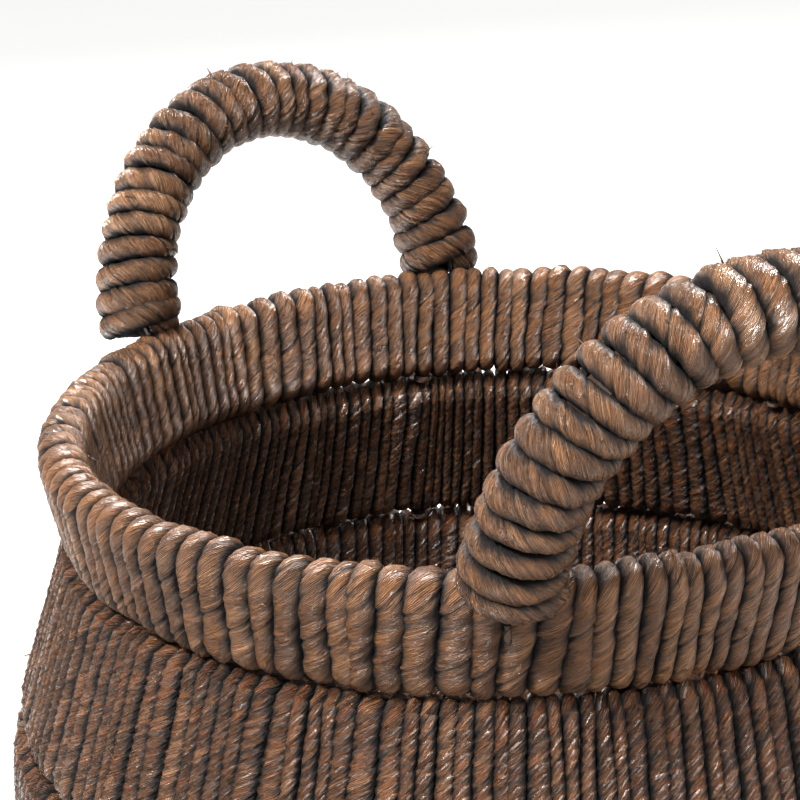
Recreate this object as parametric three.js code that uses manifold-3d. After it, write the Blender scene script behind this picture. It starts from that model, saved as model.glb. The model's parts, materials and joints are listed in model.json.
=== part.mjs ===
// A round, open-topped storage basket with two upright loop handles.
//
// A welded steel frame (hoops, uprights and two base bars) carries five bands.
// Each band is plant-fibre cord wound over a pair of hoops: the rim, three body
// tiers and the foot. Short cord ties close the gaps between the bands, a woven
// disc makes the bottom, and each handle is a steel rod in a cane core that is
// wound with the same cord.
//
// Millimetres, +Z up. The origin is on the floor, on the basket's axis.

import * as THREE from 'three';
import { mergeVertices } from 'three/addons/utils/BufferGeometryUtils.js';
import Module from 'manifold-3d';

const wasm = await Module();
wasm.setup();

// ---- Driving dimensions ----

const bodyHeight = 350;        // floor to the top of the rim
const rimRadius = 190;         // axis to the middle of the rim's upper edge
const cordThickness = 7;       // one layer of wound cord
const hoopWireRadius = 2.5;
const uprightRadius = 2;
const handleRodRadius = 2.5;
const bandGap = 2;             // open slit between one band and the next
const fit = 0.4;               // clearance between pieces that touch on the real basket
const wireFit = 0.5;           // clearance where two wires are welded side by side

const bandHalfThickness = hoopWireRadius + cordThickness;

// Each band from the rim down: its height, and the radius of its two hoops.
const bandSizes = [
  { name: 'rim', height: 50, upperRadius: rimRadius, lowerRadius: 183.5 },
  { name: 'tier_a', height: 82, upperRadius: 187, lowerRadius: 208 },
  { name: 'tier_b', height: 82, upperRadius: 213, lowerRadius: 218 },
  { name: 'tier_c', height: 82, upperRadius: 215, lowerRadius: 197 },
];
const footRadius = 187;

const uprightCount = 6;
const firstUprightAngle = 10;  // degrees round from +X

const tieThickness = 2.2;      // cord tied round each upright, between two bands

const baseRadius = 176;
const baseThickness = 9;
const baseBarRadius = 2.5;

// The handles lean outwards, and the front one sits a little off exact opposite.
// Their rise is the height of the arch's centreline, measured along its lean.
const handles = [
  { name: 'back', angle: 90, rise: 99.5 },
  { name: 'front', angle: -98, rise: 104.5 },
];
const handlePlaneRadius = 183; // axis to the middle of the straight line between the feet
const handleHalfSpan = 84.5;   // middle of the handle to the centre of each foot
const handleLean = THREE.MathUtils.degToRad(18);
const gripRadius = 18;
const footDrop = 8;            // how far the wound foot reaches down outside the rim

// A foot tie starts under a wound foot, and runs in and down to the outside of the rim.
const footTieRadius = 1.5;
const footTieReach = 8;        // outwards from the middle of the foot to the tie's start
const footTieDip = 5.6;        // and down from there to the underside of the foot
const footTieRun = 7.5;        // inwards, from one end of the tie to the other
const footTieFall = 9.5;       // downwards, from one end of the tie to the other

// ---- Mesh resolution ----

const ringSegments = 30;       // a multiple of the number of uprights
const bandEndSteps = 3;
const cavityEndSteps = 2;
const wireSides = 5;
const tieSides = 6;
const gripSides = 10;
const archSteps = 16;
const rodSteps = 26;

// ---- Materials ----

function material(colour, roughness, metalness = 0) {
  return new THREE.MeshStandardMaterial({ color: colour, roughness, metalness });
}

const steel = material(0x2f2b28, 0.45, 0.8);
const rimCord = material(0x8a6347, 0.7);
const tierCord = material(0x54392a, 0.6);
const handleCord = material(0x8f694c, 0.7);
const tieCord = material(0x6b4a33, 0.75);
const baseCord = material(0x6f4e36, 0.8);
const cane = material(0x543c2a, 0.65);

const basket = new THREE.Group();
const upwards = new THREE.Vector3(0, 0, 1);

function addPiece(name, geometry, pieceMaterial) {
  const mesh = new THREE.Mesh(geometry, pieceMaterial);
  mesh.name = name;
  basket.add(mesh);
  return mesh;
}

// ---- Cutting and joining ----

function toSolid(geometry) {
  const bare = geometry.clone();
  bare.deleteAttribute('normal');
  bare.deleteAttribute('uv');
  const welded = mergeVertices(bare);
  return new wasm.Manifold(new wasm.Mesh({
    numProp: 3,
    vertProperties: new Float32Array(welded.attributes.position.array),
    triVerts: new Uint32Array(welded.index.array),
  }));
}

function toGeometry(solid) {
  const mesh = solid.getMesh();
  const geometry = new THREE.BufferGeometry();
  geometry.setAttribute('position', new THREE.BufferAttribute(mesh.vertProperties, 3));
  geometry.setIndex(new THREE.BufferAttribute(mesh.triVerts, 1));
  geometry.computeVertexNormals();
  return geometry;
}

function cut(geometry, cutters) {
  let solid = toSolid(geometry);
  for (const cutter of cutters) {
    solid = solid.subtract(toSolid(cutter));
  }
  return toGeometry(solid);
}

// ---- Basic shapes ----

// A point at a radius, an angle round the axis and a height.
function polar(radius, angleDegrees, height) {
  const angle = THREE.MathUtils.degToRad(angleDegrees);
  return new THREE.Vector3(radius * Math.cos(angle), radius * Math.sin(angle), height);
}

// A full ring about +Z whose section is a closed outline of (radius, height) points.
// One of its corners faces the first upright, and so every upright meets a corner.
function ring(outline, segments = ringSegments) {
  const geometry = new THREE.LatheGeometry([...outline, outline[0]], segments);
  geometry.rotateX(Math.PI / 2);
  geometry.rotateZ(THREE.MathUtils.degToRad(90 + firstUprightAngle));
  return geometry;
}

// Section of a band: straight sides with rounded ends, centred on its two hoops.
function bandOutline(band, halfThickness, endSteps = bandEndSteps) {
  const outward = Math.atan2(band.lower.x - band.upper.x, band.upper.y - band.lower.y);
  const outline = [];
  for (const [centre, start] of [[band.upper, outward], [band.lower, outward + Math.PI]]) {
    for (let step = 0; step <= endSteps; step += 1) {
      const angle = start + Math.PI * step / endSteps;
      outline.push(new THREE.Vector2(
        centre.x + halfThickness * Math.cos(angle),
        centre.y + halfThickness * Math.sin(angle),
      ));
    }
  }
  return outline;
}

function circleOutline(centre, radius, sides) {
  const outline = [];
  for (let side = 0; side < sides; side += 1) {
    const angle = 2 * Math.PI * side / sides;
    outline.push(new THREE.Vector2(
      centre.x + radius * Math.cos(angle),
      centre.y + radius * Math.sin(angle),
    ));
  }
  return outline;
}

function rod(path, radius, steps, sides = wireSides) {
  const section = new THREE.Shape(circleOutline(new THREE.Vector2(), radius, sides));
  return new THREE.ExtrudeGeometry(section, { extrudePath: path, steps });
}

// A route of straight stretches that an extrusion follows corner by corner.
class BentWire extends THREE.Curve {
  constructor(points) {
    super();
    this.points = points;
  }

  getPoint(t, target = new THREE.Vector3()) {
    const place = t * (this.points.length - 1);
    const index = Math.min(Math.floor(place), this.points.length - 2);
    return target.lerpVectors(this.points[index], this.points[index + 1], place - index);
  }

  getUtoTmapping(u) {
    return u;
  }
}

// ---- Band layout ----

// Hoop centres as (radius, height), worked down from the top of the rim.
function layOutBands() {
  const bands = [];
  let top = bodyHeight;
  for (const size of bandSizes) {
    const upper = new THREE.Vector2(size.upperRadius, top - bandHalfThickness);
    const lower = new THREE.Vector2(size.lowerRadius, top - size.height + bandHalfThickness);
    bands.push({ name: size.name, upper, lower });
    top -= size.height + bandGap;
  }
  // The foot stands upright, and its lowest facet is the flat that rests on the floor.
  const flatDrop = bandHalfThickness * Math.cos(Math.PI / (2 * bandEndSteps));
  bands.push({
    name: 'foot',
    upper: new THREE.Vector2(footRadius, top - bandHalfThickness),
    lower: new THREE.Vector2(footRadius, flatDrop),
  });
  return bands;
}

const bands = layOutBands();
const rim = bands[0];
const foot = bands[bands.length - 1];

// A point beside one of a band's hoops, offset square to the band. Outwards is positive.
function besideHoop(band, centre, offset) {
  const along = band.upper.clone().sub(band.lower).normalize();
  return new THREE.Vector2(centre.x + along.y * offset, centre.y - along.x * offset);
}

// ---- Steel frame ----

function addHoops() {
  for (const band of bands) {
    for (const level of ['upper', 'lower']) {
      const section = circleOutline(band[level], hoopWireRadius, wireSides);
      addPiece(`${band.name}_hoop_${level}`, ring(section), steel);
    }
  }
}

const uprightOffset = -(hoopWireRadius + uprightRadius + wireFit);
const uprightAngles = Array.from(
  { length: uprightCount },
  (_, index) => firstUprightAngle + index * 360 / uprightCount,
);

// An upright runs down inside every hoop, from the rim's upper hoop to the foot's lower one.
function uprightRoute(angle) {
  const corners = [];
  for (const band of bands) {
    for (const level of ['upper', 'lower']) {
      const corner = besideHoop(band, band[level], uprightOffset);
      corners.push(polar(corner.x, angle, corner.y));
    }
  }
  return new BentWire(corners);
}

function uprightRod(angle, radius) {
  const route = uprightRoute(angle);
  return rod(route, radius, route.points.length - 1);
}

function addUprights() {
  uprightAngles.forEach((angle, index) => {
    addPiece(`upright_${index + 1}`, uprightRod(angle, uprightRadius), steel);
  });
}

// Two straight bars cross under the bottom, one just below the other, clear of the uprights.
const baseBars = [
  { name: 'base_bar_upper', angle: 25, drop: 1 },
  { name: 'base_bar_lower', angle: 115, drop: 2 },
];

function baseBar(bar, radius) {
  const spacing = hoopWireRadius + baseBarRadius + wireFit;
  const height = foot.upper.y - spacing * bar.drop;
  const ends = [polar(foot.upper.x, bar.angle + 180, height), polar(foot.upper.x, bar.angle, height)];
  return rod(new THREE.LineCurve3(...ends), radius, 1);
}

function addBaseBars() {
  for (const bar of baseBars) {
    addPiece(bar.name, baseBar(bar, baseBarRadius), steel);
  }
}

// ---- Wound bands ----

const cavityHalfThickness = (hoopWireRadius + fit) / Math.cos(Math.PI / (2 * cavityEndSteps));

function addWindings() {
  const uprightSlots = uprightAngles.map((angle) => uprightRod(angle, uprightRadius + fit));
  const handleSlots = handles.map(
    (handle) => rod(handleRodRoute(handle), handleRodRadius + fit, rodSteps),
  );
  const barSlots = baseBars.map((bar) => baseBar(bar, baseBarRadius + fit));
  for (const band of bands) {
    const cutters = [ring(bandOutline(band, cavityHalfThickness, cavityEndSteps)), ...uprightSlots];
    if (band === rim) cutters.push(...handleSlots);
    if (band === foot) cutters.push(...barSlots);
    const skin = ring(bandOutline(band, bandHalfThickness));
    const look = band === rim ? rimCord : tierCord;
    addPiece(`${band.name}_winding`, cut(skin, cutters), look);
  }
}

// A short collar of cord round each upright, in each slit between two bands.
function addBandTies() {
  const innerRadius = uprightRadius + fit;
  const outerRadius = innerRadius + tieThickness;
  const halfHeight = bandGap / 2;
  const outline = [
    new THREE.Vector2(innerRadius, -halfHeight),
    new THREE.Vector2(outerRadius, -halfHeight),
    new THREE.Vector2(outerRadius, halfHeight),
    new THREE.Vector2(innerRadius, halfHeight),
  ];
  uprightAngles.forEach((angle, index) => {
    const corners = uprightRoute(angle).points;
    for (let gap = 0; gap < bands.length - 1; gap += 1) {
      const above = corners[2 * gap + 1];
      const below = corners[2 * gap + 2];
      const tie = addPiece(`tie_${bands[gap].name}_${index + 1}`, ring(outline, tieSides), tieCord);
      tie.position.lerpVectors(above, below, 0.5);
      tie.quaternion.setFromUnitVectors(upwards, above.clone().sub(below).normalize());
    }
  });
}

// ---- Bottom ----

function addBase() {
  const underside = foot.upper.y - hoopWireRadius - wireFit + fit;
  const disc = ring([
    new THREE.Vector2(0, underside),
    new THREE.Vector2(baseRadius, underside),
    new THREE.Vector2(baseRadius, underside + baseThickness),
    new THREE.Vector2(0, underside + baseThickness),
  ]);
  addPiece('base_weave', disc, baseCord);
}

// ---- Handles ----

// A point of the leaning arch: sideways from its middle, and up along its lean.
function onHandlePlane(handle, sideways, rise) {
  const out = handlePlaneRadius + rise * Math.sin(handleLean);
  const point = new THREE.Vector3(out, -sideways, bodyHeight + rise * Math.cos(handleLean));
  return point.applyAxisAngle(upwards, THREE.MathUtils.degToRad(handle.angle));
}

// Half an ellipse of points, from one foot over to the other.
function archPoints(handle, startAngle) {
  const points = [];
  for (let step = 0; step <= archSteps; step += 1) {
    const angle = startAngle + (Math.PI - 2 * startAngle) * step / archSteps;
    points.push(onHandlePlane(handle, handleHalfSpan * Math.cos(angle), handle.rise * Math.sin(angle)));
  }
  return points;
}

function gripRoute(handle, drop) {
  const left = onHandlePlane(handle, handleHalfSpan, -drop);
  const right = onHandlePlane(handle, -handleHalfSpan, -drop);
  return new BentWire([left, ...archPoints(handle, 0), right]);
}

// The rod's ends are seated on the rim's upper hoop, and lean out from it into the arch.
const seatLift = 1.5;
const rodStartAngle = 0.12;    // round the arch from each foot, where the rod's bend begins

function handleRodRoute(handle) {
  const seatOffset = (hoopWireRadius + handleRodRadius + wireFit) * Math.SQRT1_2;
  const seatRadius = rim.upper.x + seatOffset;
  const seatHeight = rim.upper.y + seatOffset + seatLift;
  const footSpread = THREE.MathUtils.radToDeg(Math.atan2(handleHalfSpan, handlePlaneRadius));
  const [firstSeat, lastSeat] = [-1, 1].map(
    (side) => polar(seatRadius, handle.angle + side * footSpread, seatHeight),
  );
  return new THREE.CatmullRomCurve3([firstSeat, ...archPoints(handle, rodStartAngle), lastSeat]);
}

const boreRadius = gripRadius - cordThickness;
const boreOvershoot = 1;       // the bore runs past both ends of the wrap
const coreRadius = boreRadius - 2 * fit;
const coreStartAngle = 0.05;   // round the arch from each foot, so the cane ends above the rim

function addHandles() {
  const rimEnvelope = ring(bandOutline(rim, bandHalfThickness + fit));
  for (const handle of handles) {
    const rodRoute = handleRodRoute(handle);
    const rodSlot = rod(rodRoute, handleRodRadius + fit, rodSteps);
    addPiece(`handle_${handle.name}_rod`, rod(rodRoute, handleRodRadius, rodSteps), steel);

    const core = rod(new BentWire(archPoints(handle, coreStartAngle)), coreRadius, archSteps, gripSides);
    addPiece(`handle_${handle.name}_core`, cut(core, [rodSlot, rimEnvelope]), cane);

    const wrapRoute = gripRoute(handle, footDrop);
    const wrapSteps = wrapRoute.points.length - 1;
    const wrap = rod(wrapRoute, gripRadius, wrapSteps, gripSides);
    const boreRoute = gripRoute(handle, footDrop + boreOvershoot);
    const bore = rod(boreRoute, boreRadius, wrapSteps, gripSides);
    addPiece(`handle_${handle.name}_wrap`, cut(wrap, [bore, rimEnvelope]), handleCord);
  }
}

// A short end of cord from the underside of each wound foot down to the outside of the rim.
function addFootTies() {
  for (const handle of handles) {
    for (const [side, label] of [[1, 'left'], [-1, 'right']]) {
      const footCentre = onHandlePlane(handle, side * handleHalfSpan, -footDrop);
      const angle = THREE.MathUtils.radToDeg(Math.atan2(footCentre.y, footCentre.x));
      const startRadius = Math.hypot(footCentre.x, footCentre.y) + footTieReach;
      const startHeight = footCentre.z - footTieDip;
      const start = polar(startRadius, angle, startHeight);
      const end = polar(startRadius - footTieRun, angle, startHeight - footTieFall);
      const tie = rod(new THREE.LineCurve3(end, start), footTieRadius, 1);
      addPiece(`handle_${handle.name}_tie_${label}`, tie, tieCord);
    }
  }
}

addHoops();
addUprights();
addBaseBars();
addWindings();
addBandTies();
addBase();
addHandles();
addFootTies();

export default basket;
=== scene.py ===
"""A round storage basket, wound from plant-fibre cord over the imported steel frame.

Every band and handle is one long cord, built as a twisted tube that really goes round and
round its hoops. Lengths are in metres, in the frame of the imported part.
"""

import json
import math

import bpy
import numpy as np
from mathutils import Matrix, Vector


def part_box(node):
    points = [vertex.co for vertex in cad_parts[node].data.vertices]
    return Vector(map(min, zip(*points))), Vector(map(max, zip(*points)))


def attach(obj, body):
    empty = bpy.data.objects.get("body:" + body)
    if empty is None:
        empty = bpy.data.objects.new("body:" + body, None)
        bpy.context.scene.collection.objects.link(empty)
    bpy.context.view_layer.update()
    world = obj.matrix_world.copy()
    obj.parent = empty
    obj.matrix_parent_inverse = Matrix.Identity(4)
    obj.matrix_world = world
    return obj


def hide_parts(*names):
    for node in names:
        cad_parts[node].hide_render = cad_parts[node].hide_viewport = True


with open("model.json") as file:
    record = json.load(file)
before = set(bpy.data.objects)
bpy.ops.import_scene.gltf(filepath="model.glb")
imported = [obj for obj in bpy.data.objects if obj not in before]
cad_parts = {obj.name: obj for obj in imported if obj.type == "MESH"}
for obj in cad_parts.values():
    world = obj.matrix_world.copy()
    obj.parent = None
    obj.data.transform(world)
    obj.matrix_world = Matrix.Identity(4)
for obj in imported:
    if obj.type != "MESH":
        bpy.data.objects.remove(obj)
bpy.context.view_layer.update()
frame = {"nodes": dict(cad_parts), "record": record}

SEED = 7
BODY = "root"
BANDS = ("rim", "tier_a", "tier_b", "tier_c", "foot")
HANDLES = ("back", "front")
UPRIGHTS = range(1, 7)

HOOP_WIRE = 0.0025            # radius of a hoop's wire
UPRIGHT_WIRE = 0.002          # radius of an upright's wire
CORD_LAYER = 0.007            # thickness of one wound layer
SQUEEZE = 1.05                # a turn's width over the gap it fills, so that turns press together
VALLEY_SHADE = 2.5            # how much darker the painted shade is in a cord's folds than on its flanks
LAP_SPACING = 0.012           # from one lapped leaf edge to the next, round a cord
FIBRE_SPACING = 0.00075       # from one fibre to the next

GRIP = 0.018                  # radius of a wound handle
HANDLE_LEAN = math.radians(18)
HANDLE_PITCH = 0.0104         # from one turn to the next
HANDLE_CORD = 0.0050          # half the thickness of a handle's cord
HANDLE_CREST = 0.0008         # how far the turns' crests stand out past the grip's radius
HANDLE_SQUEEZE = 1.04         # as SQUEEZE, for a handle's turns
HANDLE_FIBRE_ANGLE = math.radians(56)
HANDLE_GAP = 0.0005           # between the rim and a handle's feet
FOOT_SWELL = 0.0018           # how much fatter a handle is at its feet
FOOT_LENGTH = 0.03            # and how far up the handle that reaches
TUCK_DEPTH = 0.006            # how far the cord's ends go in under its own turns
TUCK_TURNS = 0.4              # and over how much of a turn

HAIR = 0.00016                # radius of a single stray fibre at its root
BAND_FRAY = 0.0005            # radius of a strip of leaf that has come loose on a band
HANDLE_FRAY = 0.0006          # and on a handle
FIBRE_ROOT = 0.0040           # from the middle of a cord out to where its stray fibres start

UP = np.array([0, 0, 1.0])
FLOOR = 0.0                   # nothing that is wound reaches below this height


# ---- Helpers ----

def corners(node):
    """A node's lowest and highest corners."""
    low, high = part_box(node)
    return np.array(low), np.array(high)


def centre(node):
    low, high = corners(node)
    return (low + high) / 2


def unit(vectors):
    return vectors / np.linalg.norm(vectors, axis=-1, keepdims=True)


def ease(x):
    return x * x * (3 - 2 * x)


def wander(rng, knots):
    """A smooth random curve from -1 to 1 that repeats after as many units as it has knots."""
    values = rng.uniform(-1, 1, knots)

    def sample(x):
        index = np.floor(x).astype(int)
        part = ease(x - index)
        return values[index % knots] * (1 - part) + values[(index + 1) % knots] * part

    return sample


def make_object(name, vertices, triangles, corner_data, crown, material, slot):
    """A mesh object that carries where each face corner lies on its cord."""
    mesh = bpy.data.meshes.new(name)
    mesh.vertices.add(len(vertices))
    mesh.vertices.foreach_set("co", vertices.astype(np.float32).ravel())
    mesh.loops.add(triangles.size)
    mesh.loops.foreach_set("vertex_index", triangles.astype(np.int32).ravel())
    mesh.polygons.add(len(triangles))
    mesh.polygons.foreach_set("loop_start", np.arange(0, triangles.size, 3, dtype=np.int32))
    mesh.update(calc_edges=True)
    mesh.polygons.foreach_set("use_smooth", np.ones(len(triangles), dtype=bool))
    place = mesh.attributes.new("cord", "FLOAT_VECTOR", "CORNER")
    place.data.foreach_set("vector", corner_data.astype(np.float32).ravel())
    # crown is low in the grooves between turns and in the folds, and the cord materials paint shade
    # there.
    facing = mesh.attributes.new("crown", "FLOAT", "POINT")
    facing.data.foreach_set("value", crown.astype(np.float32).ravel())
    mesh.validate()
    mesh.materials.append(material)
    piece = bpy.data.objects.new(name, mesh)
    bpy.context.scene.collection.objects.link(piece)
    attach(piece, BODY)
    return piece


def sweep(route, outward, half_width, half_thickness, tone, twist, relief, closed):
    """A twisted cord along a route. Its mesh lines turn with the fibres.

    half_width and half_thickness are the section's size across and along outward. tone is how
    light the cord is from stretch to stretch, and twist is how far its fibres turn, in radians a
    metre. relief is how far each mesh line stands from the middle, as a share of the section's
    size, one column to a line.
    """
    sides = relief.shape[1]
    if closed:
        ahead = np.roll(route, -1, axis=0)
        behind = np.roll(route, 1, axis=0)
    else:
        ahead = np.vstack([route[1:], 2 * route[-1] - route[-2]])
        behind = np.vstack([2 * route[0] - route[1], route[:-1]])
    forward = unit(ahead - behind)
    outward = unit(outward - (outward * forward).sum(1, keepdims=True) * forward)
    across = np.cross(outward, forward)

    steps = np.linalg.norm(ahead - route, axis=1)
    along = np.concatenate([[0], np.cumsum(steps)])
    turns = along * twist / (2 * math.pi)
    if closed:
        turns *= round(turns[-1]) / turns[-1]
    phase = 2 * math.pi * turns[:-1]

    angle = phase[:, None] + 2 * math.pi * np.arange(sides)[None, :] / sides
    sideways = (half_width[:, None] * np.cos(angle) * relief)[..., None] * across[:, None, :]
    upwards = (half_thickness[:, None] * np.sin(angle) * relief)[..., None] * outward[:, None, :]
    vertices = route[:, None, :] + sideways + upwards
    # How far each point faces out on its cord, lower in the folds; the materials paint shade where it is
    # low.
    crown = np.sin(angle) + VALLEY_SHADE * (relief - 1)

    count = len(route)
    spans = count if closed else count - 1
    step, side = np.meshgrid(np.arange(spans), np.arange(sides), indexing="ij")
    next_step, next_side = (step + 1) % count, (side + 1) % sides
    a = step * sides + side
    b = step * sides + next_side
    c = next_step * sides + side
    d = next_step * sides + next_side
    triangles = np.stack([np.stack([a, b, c], -1), np.stack([b, d, c], -1)], 2).reshape(-1, 3)

    girth = 2 * math.pi * float(np.mean((half_width + half_thickness) / 2))
    round_place = np.arange(sides + 1) / sides * girth
    tone_row = np.concatenate([tone, tone[:1] if closed else tone[-1:]])

    def at(s, k):
        return np.stack([along[s], round_place[k], tone_row[s]], -1)

    first = np.stack([at(step, side), at(step, side + 1), at(step + 1, side)], 2)
    second = np.stack([at(step, side + 1), at(step + 1, side + 1), at(step + 1, side)], 2)
    places = np.stack([first, second], 2).reshape(-1, 3)
    vertices = vertices.reshape(-1, 3)
    crown = crown.reshape(-1)
    if not closed:
        vertices, triangles, places, crown = cap_ends(vertices, triangles, places, crown, route, sides)
    return vertices, triangles, places, crown


def cap_ends(vertices, triangles, places, crown, route, sides):
    """Closes both ends of an open cord with a low cone of triangles."""
    for first, tip, flip in ((0, route[0], True), (len(vertices) - sides, route[-1], False)):
        index = len(vertices)
        vertices = np.vstack([vertices, tip])
        crown = np.append(crown, 0.0)
        ring = first + np.arange(sides)
        following = first + (np.arange(sides) + 1) % sides
        fan = [following, ring] if flip else [ring, following]
        triangles = np.vstack([triangles, np.stack([*fan, np.full(sides, index)], -1)])
        places = np.vstack([places, np.zeros((3 * sides, 3))])
    return vertices, triangles, places, crown


def join(parts):
    """Several swept cords as one set of arrays."""
    offset = 0
    vertices, triangles, places, crowns = [], [], [], []
    for part_vertices, part_triangles, part_places, part_crown in parts:
        vertices.append(part_vertices)
        triangles.append(part_triangles + offset)
        places.append(part_places)
        crowns.append(part_crown)
        offset += len(part_vertices)
    return np.vstack(vertices), np.vstack(triangles), np.vstack(places), np.concatenate(crowns)


def cord_relief(rng, count, sides, per_step, depth):
    """The section of a cord rolled from a strip of leaf.

    The strip laps over itself in one long fold, leaves the cord slightly oval, and has ridges
    where its fibres bunch. per_step is how many waves of change pass at each step of the route.
    """
    t = np.arange(count) * per_step
    knots = max(4, int(count * per_step))
    line = np.arange(sides) / sides
    lap = (line - 0.5) * (0.5 + 0.35 * wander(rng, knots)(t))[:, None]
    oval = np.cos(4 * math.pi * line) * (0.35 + 0.25 * wander(rng, knots)(t + 0.5))[:, None]
    ridges = np.stack([wander(rng, knots)(t + rng.uniform()) for _ in range(sides)], axis=1)
    fold = np.zeros((count, sides))
    fold[:, 0] = 0.9 + 0.5 * wander(rng, knots)(t)
    return 1 + depth * (lap + oval + 0.3 * ridges - fold)


# ---- Materials ----

def node_tree(name):
    material = bpy.data.materials.new(name)
    material.use_nodes = True
    return material, material.node_tree.nodes, material.node_tree.links


def cord_material(name, deep, body, light, streak, dull, roughness, gloss, fibre_height, contrast):
    """Dried plant fibre: long fibres that follow the twist, mottled from stretch to stretch.

    deep, body and light are the fibre's shades, and streak and dull are the red and grey patches.
    Every noise is stretched along the cord: its scales are waves per metre along and round it,
    and then per step of tone.
    """
    material, nodes, links = node_tree(name)
    shader = nodes["Principled BSDF"]
    place = nodes.new("ShaderNodeAttribute")
    place.attribute_name = "cord"
    crown = nodes.new("ShaderNodeAttribute")
    crown.attribute_name = "crown"

    def stretched(scale, detail, rough=0.55):
        mapping = nodes.new("ShaderNodeVectorMath")
        mapping.operation = "MULTIPLY"
        mapping.inputs[1].default_value = scale
        links.new(place.outputs["Vector"], mapping.inputs[0])
        noise = nodes.new("ShaderNodeTexNoise")
        noise.inputs["Scale"].default_value = 1.0
        noise.inputs["Detail"].default_value = detail
        noise.inputs["Roughness"].default_value = rough
        links.new(mapping.outputs["Vector"], noise.inputs["Vector"])
        return noise.outputs["Fac"]

    def mapped(value, low, high, to_low, to_high):
        node = nodes.new("ShaderNodeMapRange")
        node.inputs["From Min"].default_value = low
        node.inputs["From Max"].default_value = high
        node.inputs["To Min"].default_value = to_low
        node.inputs["To Max"].default_value = to_high
        links.new(value, node.inputs["Value"])
        return node.outputs["Result"]

    def mixed(fac, first, second):
        node = nodes.new("ShaderNodeMix")
        node.data_type = "RGBA"
        for value, socket in ((fac, 0), (first, 6), (second, 7)):
            if hasattr(value, "is_linked"):
                links.new(value, node.inputs[socket])
            else:
                node.inputs[socket].default_value = value
        return node.outputs[2]

    def worked(operation, *values):
        node = nodes.new("ShaderNodeMath")
        node.operation = operation
        for socket, value in zip(node.inputs, values):
            if hasattr(value, "is_linked"):
                links.new(value, socket)
            else:
                socket.default_value = value
        return node.outputs["Value"]

    def added(first, second):
        return worked("ADD", first, second)

    def scaled(value, factor):
        return worked("MULTIPLY", value, factor)

    def product(first, second):
        return worked("MULTIPLY", first, second)

    def fraction(value):
        return worked("FRACT", value)

    part = nodes.new("ShaderNodeSeparateXYZ")
    links.new(place.outputs["Vector"], part.inputs["Vector"])
    mottle = stretched((45.0, 90.0, 3.0), 3.0, 0.6)
    strand = stretched((85.0, 1500.0, 6.0), 3.0, 0.7)
    fibre = stretched((140.0, 4600.0, 9.0), 2.0, 0.7)
    patch = stretched((50.0, 120.0, 5.0), 1.0)
    across_fibres = scaled(part.outputs["Y"], 2 * math.pi / FIBRE_SPACING)
    wave = worked("SINE", added(across_fibres, scaled(strand, 9.0)))
    # This noise makes the dents in the bump, and a mix of dirt and painted shade in them.
    dents_grime_and_shade = stretched((130.0, 260.0, 4.0), 4.0, 0.7)

    # The leaf's edge laps over the cord: a small step, with painted shade on its low side.
    lap = fraction(added(scaled(part.outputs["Y"], 1 / LAP_SPACING), scaled(patch, 1.6)))
    lap_shown = mapped(mottle, 0.42, 0.58, 0.0, 1.0)
    lap_shade = product(mapped(lap, 0.0, 0.14, 1.0, 0.0), lap_shown)

    # The base colour changes from stretch to stretch, and the fibres show light and dark on it.
    blend = added(mapped(mottle, 0.3, 0.7, 0.0, 0.6), mapped(part.outputs["Z"], -1.0, 1.0, -0.2, 0.65))
    colour = mixed(mapped(blend, 0.0, 0.5, 0.0, 1.0), deep, body)
    colour = mixed(mapped(blend, 0.5, 1.0, 0.0, 1.0), colour, light)
    colour = mixed(mapped(patch, 0.52, 0.66, 0.0, 0.75), colour, streak)
    colour = mixed(mapped(patch, 0.34, 0.48, 0.7, 0.0), colour, dull)
    colour = mixed(mapped(strand, 0.52, 0.7, 0.0, contrast), colour, light)
    colour = mixed(mapped(strand, 0.34, 0.5, 0.6, 0.0), colour, deep)
    colour = mixed(mapped(fibre, 0.38, 0.5, 0.75, 0.0), colour, deep)
    colour = mixed(mapped(fibre, 0.52, 0.64, 0.0, 0.3), colour, light)
    colour = mixed(mapped(wave, -1.0, 0.2, 0.7, 0.0), colour, deep)
    colour = mixed(mapped(wave, 0.3, 1.0, 0.0, 0.35), colour, light)

    # Painted shade, with some dirt, darkens the dents; painted shade darkens the low side of each lap and
    # the grooves between turns.
    shadow = rgb(*(0.12 * channel for channel in deep[:3]))
    colour = mixed(mapped(dents_grime_and_shade, 0.3, 0.42, 0.75, 0.0), colour, shadow)
    colour = mixed(scaled(lap_shade, 0.8), colour, shadow)
    colour = mixed(mapped(crown.outputs["Fac"], 0.42, 0.90, 0.97, 0.0), colour, shadow)
    links.new(colour, shader.inputs["Base Color"])

    sheen = mapped(strand, 0.3, 0.7, roughness + gloss, roughness - gloss)
    in_groove = mapped(crown.outputs["Fac"], 0.35, 0.85, 0.6, 0.0)
    links.new(added(sheen, in_groove), shader.inputs["Roughness"])
    shader.inputs["Specular IOR Level"].default_value = 0.65

    fibres = added(mapped(strand, 0.3, 0.7, 0.0, 0.5), mapped(wave, -1.0, 1.0, 0.0, 0.22))
    dents = added(mapped(dents_grime_and_shade, 0.3, 0.6, 0.0, 0.7), scaled(product(lap, lap_shown), 0.8))
    height = added(fibres, dents)
    bump = nodes.new("ShaderNodeBump")
    bump.inputs["Strength"].default_value = 1.0
    bump.inputs["Distance"].default_value = fibre_height
    links.new(height, bump.inputs["Height"])
    links.new(bump.outputs["Normal"], shader.inputs["Normal"])
    return material


def rgb(red, green, blue):
    return (red, green, blue, 1.0)


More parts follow.
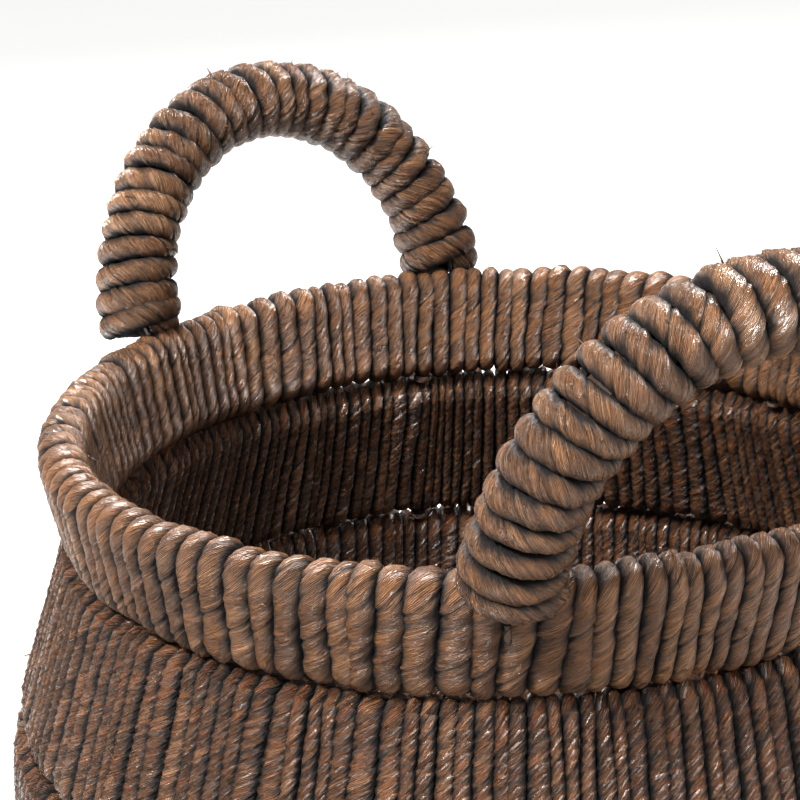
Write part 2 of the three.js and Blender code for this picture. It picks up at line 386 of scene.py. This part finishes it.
RIM_LOOK = cord_material(
    "rim_fibre",
    deep=rgb(0.034, 0.013, 0.006), body=rgb(0.19, 0.080, 0.033), light=rgb(0.50, 0.275, 0.14),
    streak=rgb(0.36, 0.16, 0.054), dull=rgb(0.165, 0.098, 0.065),
    roughness=0.31, gloss=0.08, fibre_height=0.0012, contrast=0.55)
HANDLE_LOOK = cord_material(
    "handle_fibre",
    deep=rgb(0.038, 0.015, 0.007), body=rgb(0.215, 0.096, 0.043), light=rgb(0.55, 0.325, 0.185),
    streak=rgb(0.35, 0.155, 0.055), dull=rgb(0.165, 0.10, 0.067),
    roughness=0.23, gloss=0.08, fibre_height=0.0014, contrast=0.55)
TIER_LOOK = cord_material(
    "tier_fibre",
    deep=rgb(0.018, 0.006, 0.003), body=rgb(0.115, 0.043, 0.018), light=rgb(0.52, 0.27, 0.14),
    streak=rgb(0.30, 0.09, 0.024), dull=rgb(0.085, 0.048, 0.032),
    roughness=0.20, gloss=0.08, fibre_height=0.0019, contrast=0.85)
TIE_LOOK = cord_material(
    "tie_fibre",
    deep=rgb(0.03, 0.013, 0.006), body=rgb(0.12, 0.053, 0.026), light=rgb(0.26, 0.14, 0.08),
    streak=rgb(0.17, 0.075, 0.03), dull=rgb(0.10, 0.06, 0.04),
    roughness=0.5, gloss=0.08, fibre_height=0.0004, contrast=0.45)
BASE_LOOK = cord_material(
    "base_fibre",
    deep=rgb(0.035, 0.015, 0.007), body=rgb(0.13, 0.058, 0.028), light=rgb(0.30, 0.165, 0.09),
    streak=rgb(0.19, 0.08, 0.03), dull=rgb(0.11, 0.065, 0.043),
    roughness=0.45, gloss=0.1, fibre_height=0.0009, contrast=0.45)


def steel_material():
    """Dark lacquered wire, with fine mottling and a little wear."""
    material, nodes, links = node_tree("lacquered_wire")
    shader = nodes["Principled BSDF"]
    place = nodes.new("ShaderNodeTexCoord")
    noise = nodes.new("ShaderNodeTexNoise")
    noise.inputs["Scale"].default_value = 420.0
    noise.inputs["Detail"].default_value = 4.0
    links.new(place.outputs["Object"], noise.inputs["Vector"])
    ramp = nodes.new("ShaderNodeValToRGB")
    ramp.color_ramp.elements[0].position = 0.4
    ramp.color_ramp.elements[0].color = rgb(0.018, 0.014, 0.012)
    ramp.color_ramp.elements[1].position = 0.75
    ramp.color_ramp.elements[1].color = rgb(0.09, 0.065, 0.05)
    links.new(noise.outputs["Fac"], ramp.inputs["Fac"])
    links.new(ramp.outputs["Color"], shader.inputs["Base Color"])
    bump = nodes.new("ShaderNodeBump")
    bump.inputs["Strength"].default_value = 0.3
    bump.inputs["Distance"].default_value = 0.0002
    links.new(noise.outputs["Fac"], bump.inputs["Height"])
    links.new(bump.outputs["Normal"], shader.inputs["Normal"])
    shader.inputs["Metallic"].default_value = 0.6
    shader.inputs["Roughness"].default_value = 0.42
    return material


def cane_material():
    """Stained cane, finely grained."""
    material, nodes, links = node_tree("cane_grain")
    shader = nodes["Principled BSDF"]
    place = nodes.new("ShaderNodeTexCoord")
    noise = nodes.new("ShaderNodeTexNoise")
    noise.inputs["Scale"].default_value = 260.0
    noise.inputs["Detail"].default_value = 5.0
    links.new(place.outputs["Object"], noise.inputs["Vector"])
    ramp = nodes.new("ShaderNodeValToRGB")
    ramp.color_ramp.elements[0].color = rgb(0.035, 0.018, 0.009)
    ramp.color_ramp.elements[1].color = rgb(0.10, 0.055, 0.028)
    links.new(noise.outputs["Fac"], ramp.inputs["Fac"])
    links.new(ramp.outputs["Color"], shader.inputs["Base Color"])
    shader.inputs["Roughness"].default_value = 0.6
    return material


def dress_cad_nodes():
    """The wires and canes keep their CAD shapes, and get a real surface."""
    steel = steel_material()
    cane = cane_material()
    slots = {row["node"]: row["material_slot"] for row in frame["record"]["subparts"]}
    looks = {"steel_wire": steel, "cane": cane}
    for node, piece in frame["nodes"].items():
        if slots[node] in looks:
            for index in range(len(piece.material_slots)):
                piece.material_slots[index].material = looks[slots[node]]


# ---- Loose fibres ----

def loose_fibres(rng, route, outward, amount, reach, root=HAIR):
    """Fine stray fibres that stand up from a wound cord and curl over.

    Where the cord faces down there are none, because it rests on what is under it.
    """
    steps, sides = 7, 3
    facing_down = -0.2
    grow = np.linspace(0, 1, steps)[:, None]
    made = []
    for start in rng.integers(2, len(route) - 2, amount):
        along = unit(route[start + 1] - route[start - 1])
        lift = outward[start]
        if lift[2] < facing_down:
            continue
        lean = lift * rng.uniform(0.3, 1.0) + along * rng.normal()
        lean = unit(lean + np.cross(along, lift) * rng.normal() * 0.6)
        curl = np.cross(lean, unit(rng.normal(size=3))) * rng.uniform(-0.9, 0.9)
        length = reach * rng.uniform(0.35, 1.0)
        line = route[start] + FIBRE_ROOT * lift + length * (lean * grow + curl * grow ** 2)
        radius = root * (1.15 - grow[:, 0])
        side = np.broadcast_to(unit(np.cross(lean, curl + 0.01)), line.shape)
        tone = np.full(steps, rng.uniform(0.2, 1.0))
        vertices, triangles, places, crown = sweep(
            line, side, radius, radius, tone, 0.0, np.ones((steps, sides)), closed=False)
        made.append((vertices, triangles, places, np.ones_like(crown)))
    return made


# ---- Wound bands ----

def hoop(band, level):
    """A hoop's radius and height."""
    low, high = corners(f"{band}_hoop_{level}")
    return np.array([(high[0] - low[0]) / 2 - HOOP_WIRE, (low[2] + high[2]) / 2])


def band_section(upper, lower, offset):
    """Once round a pair of hoops, as a function of distance: places and outward normals.

    It starts at the bottom of the outer side, and goes up, over, down the inside and under.
    """
    rise = upper - lower
    straight = float(np.linalg.norm(rise))
    up = rise / straight
    out = np.array([up[1], -up[0]])
    bend = math.pi * offset
    girth = 2 * (straight + bend)

    def at(distance):
        d = np.mod(distance, girth)
        part_outer = np.clip(d / straight, 0, 1)
        over = np.clip((d - straight) / bend, 0, 1) * math.pi
        part_inner = np.clip((d - straight - bend) / straight, 0, 1)
        under = np.clip((d - 2 * straight - bend) / bend, 0, 1) * math.pi
        turn = over + under
        normal = np.cos(turn)[:, None] * out + np.sin(turn)[:, None] * up
        middle = lower + (part_outer - part_inner)[:, None] * rise
        return middle + offset * normal, normal

    return at, girth


def wind_band(band, seed, pitch, cord_half, steps, sides, uneven, slack, fibre_angle, material, slot):
    """One cord wound round and round a band's two hoops, and back to its own start.

    uneven is how much the turns differ in width, and slack is how far they sway to either side,
    as a share of the pitch. steps is for one turn, and sides is for the cord's section.
    """
    rng = np.random.default_rng(seed)
    upper, lower = hoop(band, "upper"), hoop(band, "lower")
    mean_radius = (upper[0] + lower[0]) / 2
    turns = round(2 * math.pi * mean_radius / pitch)
    section, girth = band_section(upper, lower, HOOP_WIRE + CORD_LAYER / 2)

    # Each turn has its own width, and together they go once round the basket.
    widths = np.exp(uneven * rng.normal(size=turns))
    widths = 0.5 * widths + 0.25 * (np.roll(widths, 1) + np.roll(widths, -1))
    widths *= 2 * math.pi / widths.sum()
    edges = np.concatenate([[0], np.cumsum(widths)])

    t = np.arange(turns * steps) / steps
    azimuth = np.interp(t, np.arange(turns + 1), edges)
    sway = wander(rng, turns * 4)(t * 4) + 0.8 * wander(rng, turns)(t)
    azimuth = azimuth + slack * pitch / mean_radius * sway

    # A turn is as wide as the wider gap beside it, so that hardly any daylight shows between turns.
    to_next = (np.roll(azimuth, -steps) - azimuth) % (2 * math.pi)
    width = np.maximum(to_next, np.roll(to_next, steps))

    # The cord bulges a little, and most of all where it goes over and under the hoops.
    place, normal = section((t % 1) * girth)
    at_edge = np.abs(normal[:, 1])
    sag = 0.0006 + 0.0012 * wander(rng, turns * 2)(t * 2)
    bulge = 0.0005 * wander(rng, turns * 3)(t * 3) + sag * at_edge ** 2
    place = place + bulge[:, None] * normal
    spin_x, spin_y = np.cos(azimuth), np.sin(azimuth)
    route = np.stack([place[:, 0] * spin_x, place[:, 0] * spin_y, place[:, 1]], -1)
    outward = np.stack([normal[:, 0] * spin_x, normal[:, 0] * spin_y, normal[:, 1]], -1)

    swell = 1 + 0.10 * wander(rng, turns * 3)(t * 3) + 0.06 * wander(rng, turns * 9)(t * 9)
    half_width = 0.5 * width * place[:, 0] * swell * SQUEEZE
    half_thickness = cord_half * (1 + 0.08 * wander(rng, turns * 2)(t * 2))
    tone = 0.75 * wander(rng, turns)(t) + 0.35 * wander(rng, turns * 5)(t * 5)
    twist = math.tan(fibre_angle) / (pitch / 2)
    relief = cord_relief(rng, len(t), sides, 4 / steps, 0.11)
    cord = sweep(route, outward, half_width, half_thickness, tone, twist, relief, closed=True)
    heights = cord[0][:, 2]
    np.maximum(heights, FLOOR, out=heights)
    hairs = []
    if band != "foot":
        hairs += loose_fibres(rng, route, outward, amount=turns, reach=0.010)
        hairs += loose_fibres(rng, route, outward, amount=turns // 4, reach=0.007, root=BAND_FRAY)
    parts = join([cord, *hairs])
    piece = make_object(f"{band}_cord", *parts, material, slot)
    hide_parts(f"{band}_winding")


def wind_bands():
    wind_band("rim", SEED + 1, pitch=0.0090, cord_half=0.0047, steps=42, sides=16, uneven=0.28,
              slack=0.10, fibre_angle=math.radians(48), material=RIM_LOOK, slot="rim_cord")
    for index, band in enumerate(("tier_a", "tier_b", "tier_c")):
        wind_band(band, SEED + 2 + index, pitch=0.0068, cord_half=0.0041, steps=42, sides=11, uneven=0.34,
                  slack=0.16, fibre_angle=math.radians(46), material=TIER_LOOK, slot="tier_cord")
    wind_band("foot", SEED + 5, pitch=0.0074, cord_half=0.0037, steps=30, sides=12, uneven=0.24,
              slack=0.10, fibre_angle=math.radians(46), material=TIER_LOOK, slot="tier_cord")


# ---- Handles ----

def handle_frame(name):
    """The handle's facing angle and its arch, worked out from the CAD nodes."""
    feet = [centre(f"handle_{name}_tie_{side}") for side in ("left", "right")]
    middle = (feet[0] + feet[1]) / 2
    angle = math.atan2(middle[1], middle[0])
    low, high = corners("handle_back_wrap")
    rim_top = corners("rim_winding")[1][2] + HANDLE_GAP
    half_span = (high[0] - low[0]) / 2 - GRIP
    back_rise = (high[2] - GRIP - rim_top) / math.cos(HANDLE_LEAN)
    plane_radius = high[1] - GRIP - back_rise * math.sin(HANDLE_LEAN)
    top = corners(f"handle_{name}_wrap")[1][2]
    rise = (top - GRIP - rim_top) / math.cos(HANDLE_LEAN)
    return angle, half_span, rise, plane_radius, rim_top


def on_handle(shape, sideways, up):
    """Points on the leaning arch's plane, and the plane's own two directions."""
    angle, _, _, plane_radius, rim_top = shape
    out = np.array([math.cos(angle), math.sin(angle), 0.0])
    side = np.array([math.sin(angle), -math.cos(angle), 0.0])
    lift = math.sin(HANDLE_LEAN) * out + math.cos(HANDLE_LEAN) * UP
    origin = plane_radius * out + rim_top * UP
    return origin + sideways[:, None] * side + up[:, None] * lift, side, lift


def arch_path(shape, drop, count=400):
    """Points from one foot over to the other, how far along each one is, and the plane's normal."""
    _, half_span, rise, _, _ = shape
    angle = np.linspace(0, math.pi, count)
    sideways = np.concatenate([[half_span], half_span * np.cos(angle), [-half_span]])
    up = np.concatenate([[-drop], rise * np.sin(angle), [-drop]])
    points, side, lift = on_handle(shape, sideways, up)
    length = np.concatenate([[0], np.cumsum(np.linalg.norm(np.diff(points, axis=0), axis=1))])
    return points, length, np.cross(side, lift)


def wind_handle(name, seed):
    """One cord wound from foot to foot round the handle's core."""
    rng = np.random.default_rng(seed)
    shape = handle_frame(name)
    points, length, plane_normal = arch_path(shape, drop=0.003)
    whole = length[-1]
    steps, sides = 48, 18
    uneven = 0.13
    turns = round(whole / HANDLE_PITCH)
    widths = np.exp(uneven * rng.normal(size=turns))
    widths *= whole / widths.sum()
    edges = np.concatenate([[0], np.cumsum(widths)])

    def on_arch(distance):
        return np.stack([np.interp(distance, length, points[:, k]) for k in range(3)], -1)

    t = np.arange(turns * steps + 1) / steps
    width = np.maximum(np.interp(t, np.arange(turns), widths), np.interp(t - 1, np.arange(turns), widths))
    tilt = 0.10 * wander(rng, turns + 2)(t * 0.7) * np.sin(2 * math.pi * t + 1.0)
    sway = 0.07 * wander(rng, turns * 4 + 4)(t * 4) + tilt
    reach = np.interp(t, np.arange(turns + 1), edges) + sway * width
    reach = np.clip(reach, 0.5 * HANDLE_PITCH, whole - 0.5 * HANDLE_PITCH)
    nearby = 0.004
    forward = unit(on_arch(reach + nearby) - on_arch(reach - nearby))
    normal = np.broadcast_to(plane_normal, forward.shape)
    binormal = np.cross(forward, normal)

    # The coil is fatter at the feet, and both ends of its cord are tucked in.
    foot_swell = np.exp(-((np.minimum(reach, whole - reach)) / FOOT_LENGTH) ** 2)
    tucked = np.clip(1 - np.minimum(t, turns - t) / TUCK_TURNS, 0, 1)
    coil_radius = GRIP + HANDLE_CREST - HANDLE_CORD + FOOT_SWELL * foot_swell
    coil_radius = coil_radius + 0.0006 * wander(rng, turns * 3 + 3)(t * 3) - TUCK_DEPTH * tucked ** 2
    spin = 2 * math.pi * t
    outward = np.cos(spin)[:, None] * normal + np.sin(spin)[:, None] * binormal
    route = on_arch(reach) + coil_radius[:, None] * outward

    swell = 1 + 0.12 * wander(rng, turns * 3 + 3)(t * 3) + 0.05 * wander(rng, turns * 9 + 9)(t * 9)
    half_width = 0.5 * width * swell * HANDLE_SQUEEZE
    half_thickness = HANDLE_CORD * (1 + 0.08 * wander(rng, turns * 2 + 2)(t * 2))
    tone = 0.7 * wander(rng, turns + 1)(t) + 0.35 * wander(rng, turns * 5 + 5)(t * 5) - 0.6 * foot_swell
    twist = math.tan(HANDLE_FIBRE_ANGLE) / (HANDLE_PITCH / 2)
    relief = cord_relief(rng, len(t), sides, 5 / steps, 0.13)
    cord = sweep(route, outward, half_width, half_thickness, tone, twist, relief, closed=False)
    hairs = loose_fibres(rng, route, outward, amount=3 * turns, reach=0.008)
    frays = loose_fibres(rng, route, outward, amount=turns // 2, reach=0.008, root=HANDLE_FRAY)
    parts = join([cord, *hairs, *frays])
    piece = make_object(f"handle_{name}_cord", *parts, HANDLE_LOOK, "handle_cord")
    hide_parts(f"handle_{name}_wrap")


# ---- Ties ----

def tie_upright(band, number, seed):
    """A few turns of thin cord round an upright, in the slit under a band."""
    rng = np.random.default_rng(seed)
    node = f"tie_{band}_{number}"
    middle = centre(node)
    below = BANDS[BANDS.index(band) + 1]
    rise = hoop(band, "lower") - hoop(below, "upper")
    azimuth = math.atan2(middle[1], middle[0])
    axis = unit(np.array([rise[0] * math.cos(azimuth), rise[0] * math.sin(azimuth), rise[1]]))
    sideways = np.array([-math.sin(azimuth), math.cos(azimuth), 0.0])
    outwards = np.cross(sideways, axis)
    turns, steps, sides = 2.6, 20, 7
    cord = 0.00095
    half_length = 0.002
    gap = 0.0003
    twist = 900.0
    t = np.linspace(0, turns, int(turns * steps) + 1)
    spin = 2 * math.pi * t + rng.uniform(0, 2 * math.pi)
    outward = np.cos(spin)[:, None] * sideways + np.sin(spin)[:, None] * outwards
    climb = (t / turns - 0.5) * 2 * (half_length - cord)
    route = middle + (UPRIGHT_WIRE + cord + gap) * outward + climb[:, None] * axis
    half = cord * (1 + 0.1 * wander(rng, 12)(t * 4))
    tone = wander(rng, 8)(t)
    relief = cord_relief(rng, len(t), sides, 0.3, 0.15)
    return sweep(route, outward, half, half, tone, twist, relief, closed=False), node


def tie_bands():
    for band in BANDS[:-1]:
        made = [tie_upright(band, number, SEED + 40 * number + len(band)) for number in UPRIGHTS]
        piece = make_object(f"{band}_ties", *join([parts for parts, _ in made]), TIE_LOOK, "tie_cord")
        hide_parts(*[node for _, node in made])


def tie_foot(node, seed):
    """A bent end of thin cord under a handle's foot, tucked down against the rim."""
    rng = np.random.default_rng(seed)
    cord = 0.0014
    bow = 0.0012
    start = 0.0034
    travel = 0.0072
    twist = 700.0
    low, high = corners(node)
    middle = (low + high) / 2
    out = unit(np.array([middle[0], middle[1], 0.0]))
    t = np.linspace(0, 1, 16)
    half_height = (high[2] - low[2]) * 0.5
    sideways = start - travel * t + bow * np.sin(math.pi * t)
    route = middle + out * sideways[:, None] + UP * (half_height * (1 - 2 * t))[:, None]
    outward = np.broadcast_to(out, route.shape)
    half = cord * (1 + 0.12 * wander(rng, 8)(t * 6))
    tone = wander(rng, 6)(t * 3)
    relief = cord_relief(rng, len(t), 8, 0.4, 0.2)
    return sweep(route, outward, half, half, tone, twist, relief, closed=False)


def tie_feet():
    for name in HANDLES:
        nodes = [f"handle_{name}_tie_{side}" for side in ("left", "right")]
        made = [tie_foot(node, SEED + 90 + index) for index, node in enumerate(nodes)]
        piece = make_object(f"handle_{name}_foot_ties", *join(made), TIE_LOOK, "tie_cord")
        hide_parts(*nodes)


# ---- Woven bottom ----

STAKES = 31                   # an odd number, so that each round waves against the last one
STAKE_HALF_WIDTH = 0.0034     # at the edge, and narrower towards the middle
STAKE_HALF_THICKNESS = 0.0009
STAKE_MARGIN = 0.002          # from the end of a stake to the edge of the bottom
WEAVE_PITCH = 0.0078          # from one round of the cord to the next
WEAVE_START = 0.012           # radius of the first round
WEAVE_MARGIN = 0.004          # from the last round to the edge of the bottom
WEAVE_RIPPLE = 0.0019         # how far the cord waves up and down
WEAVE_HALF_THICKNESS = 0.0024
WEAVE_TWIST = 260.0           # radians a metre


def weave_cord(rng, outer, level):
    """The cord that winds outwards in waves, half a wave from one stake to the next."""
    rounds = (outer - WEAVE_MARGIN - WEAVE_START) / WEAVE_PITCH
    steps = 6 * STAKES
    t = np.arange(int(rounds * steps)) / steps
    azimuth = 2 * math.pi * t
    ripple = WEAVE_RIPPLE * np.cos(STAKES * azimuth / 2)
    radius = WEAVE_START + WEAVE_PITCH * t + 0.0005 * wander(rng, int(rounds * 9) + 1)(t * 9)
    route = np.stack([radius * np.cos(azimuth), radius * np.sin(azimuth), level + ripple], -1)
    outward = np.broadcast_to(UP, route.shape)
    half_width = np.full(len(t), WEAVE_PITCH * 0.5)
    half_thickness = np.full(len(t), WEAVE_HALF_THICKNESS)
    tone = wander(rng, int(rounds * 3) + 1)(t * 3)
    relief = cord_relief(rng, len(t), 8, 0.25, 0.15)
    return sweep(route, outward, half_width, half_thickness, tone, WEAVE_TWIST, relief, closed=False)


def weave_stake(rng, number, outer, level):
    """A flat stake from the middle of the bottom to its edge."""
    steps = 24
    turn = 2 * math.pi * (number + 0.5) / STAKES
    reach = np.linspace(WEAVE_START, outer - STAKE_MARGIN, steps)
    line = np.stack([reach * math.cos(turn), reach * math.sin(turn), np.full(steps, level)], -1)
    half_width = np.minimum(STAKE_HALF_WIDTH, 0.42 * 2 * math.pi * reach / STAKES)
    half_thickness = np.full(steps, STAKE_HALF_THICKNESS)
    tone = np.full(steps, rng.uniform(-1, 1))
    outward = np.broadcast_to(UP, line.shape)
    return sweep(line, outward, half_width, half_thickness, tone, 0.0, np.ones((steps, 8)), closed=False)


def weave_base():
    """The bottom: one cord wound outwards in waves, with flat stakes through it."""
    rng = np.random.default_rng(SEED + 300)
    low, high = corners("base_weave")
    outer = (high[0] - low[0]) / 2
    level = (low[2] + high[2]) / 2
    parts = [weave_cord(rng, outer, level)]
    parts += [weave_stake(rng, number, outer, level) for number in range(STAKES)]
    piece = make_object("base_mat", *join(parts), BASE_LOOK, "base_cord")
    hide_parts("base_weave")


# ---- Stage ----

CAMERA_DISTANCE = 5.5         # in radii of the rim
CAMERA_AZIMUTH = math.radians(-123)
CAMERA_ELEVATION = 0.341
CAMERA_YAW = -0.045
CAMERA_ROLL = -0.043
CAMERA_LENS = 108.6


def place_camera():
    """Looks down at the mouth of the basket, past the front handle to the back one."""
    rim_radius, _ = hoop("rim", "upper")
    rim_top = corners("rim_winding")[1][2]
    reach = CAMERA_DISTANCE * rim_radius
    ground = np.array([math.cos(CAMERA_AZIMUTH), math.sin(CAMERA_AZIMUTH), 0.0])
    height = rim_top + reach * math.sin(CAMERA_ELEVATION)
    place = ground * reach * math.cos(CAMERA_ELEVATION) + height * UP
    heading = CAMERA_AZIMUTH + math.pi - CAMERA_YAW
    level = np.array([math.cos(heading), math.sin(heading), 0.0])
    forward = level * math.cos(CAMERA_ELEVATION) - math.sin(CAMERA_ELEVATION) * UP
    right = np.array([math.sin(heading), -math.cos(heading), 0.0])
    up = np.cross(right, forward)
    rolled_right = right * math.cos(CAMERA_ROLL) + up * math.sin(CAMERA_ROLL)
    rolled_up = up * math.cos(CAMERA_ROLL) - right * math.sin(CAMERA_ROLL)

    camera = bpy.data.cameras.new("camera")
    camera.lens = CAMERA_LENS
    camera.sensor_width = 36.0
    camera.clip_start = 0.01
    camera.clip_end = 50.0
    holder = bpy.data.objects.new("camera", camera)
    turn = Matrix(np.stack([rolled_right, rolled_up, -forward], axis=1).tolist())
    holder.matrix_world = Matrix.Translation(place.tolist()) @ turn.to_4x4()
    bpy.context.scene.collection.objects.link(holder)
    bpy.context.scene.camera = holder


def add_light(light, place, target):
    """Hangs a lamp at a place, aimed at a target."""
    holder = bpy.data.objects.new(light.name, light)
    holder.location = place
    holder.rotation_euler = (Vector(target) - Vector(place)).to_track_quat("-Z", "Y").to_euler()
    bpy.context.scene.collection.objects.link(holder)


def area_light(name, place, target, size, power):
    """A round soft lamp, its power in watts."""
    light = bpy.data.lights.new(name, "AREA")
    light.shape = "DISK"
    light.size = size
    light.energy = power
    add_light(light, place, target)


def sun_light(name, place, softness, strength):
    """A wide soft light from far off, aimed at the basket's foot."""
    light = bpy.data.lights.new(name, "SUN")
    light.angle = softness
    light.energy = strength
    add_light(light, place, (0, 0, 0))


def hang_lights():
    """Soft lamps over the basket's front, back and right, and one wide light over all of it."""
    middle = (0.0, 0.0, 0.3)
    view = np.array([math.cos(CAMERA_AZIMUTH), math.sin(CAMERA_AZIMUTH), 0.0])
    left = np.array([view[1], -view[0], 0.0])
    area_light("key", 0.7 * view + left + 1.6 * UP, middle, size=0.3, power=40.0)
    area_light("back", -1.3 * view + 0.3 * left + 1.5 * UP, middle, size=0.3, power=52.0)
    area_light("right", 0.8 * view - 1.3 * left + 1.2 * UP, middle, size=0.4, power=14.0)
    sun_light("sky", 0.6 * view + 0.25 * left + 1.3 * UP, softness=math.radians(30), strength=3.9)


def set_surround():
    """An even white surround, and how the picture is developed."""
    world = bpy.data.worlds.new("studio")
    world.use_nodes = True
    background = world.node_tree.nodes["Background"]
    background.inputs["Color"].default_value = rgb(1.0, 1.0, 1.0)
    background.inputs["Strength"].default_value = 0.36
    bpy.context.scene.world = world
    bpy.context.scene.view_settings.view_transform = "Standard"
    bpy.context.scene.view_settings.exposure = 0.15
    bpy.context.scene.view_settings.gamma = 0.84


def lay_floor():
    """A plain pale floor."""
    material, nodes, _ = node_tree("pale_floor")
    nodes["Principled BSDF"].inputs["Base Color"].default_value = rgb(0.56, 0.56, 0.555)
    nodes["Principled BSDF"].inputs["Roughness"].default_value = 0.8
    bpy.ops.mesh.primitive_plane_add(size=60.0, location=(0, 0, 0))
    floor = bpy.context.object
    floor.name = "floor"
    floor.data.materials.append(material)


# ---- Assembly ----

place_camera()
dress_cad_nodes()
wind_bands()
for number, handle in enumerate(HANDLES):
    wind_handle(handle, SEED + 20 + number)
tie_bands()
tie_feet()
weave_base()
hang_lights()
set_surround()
lay_floor()
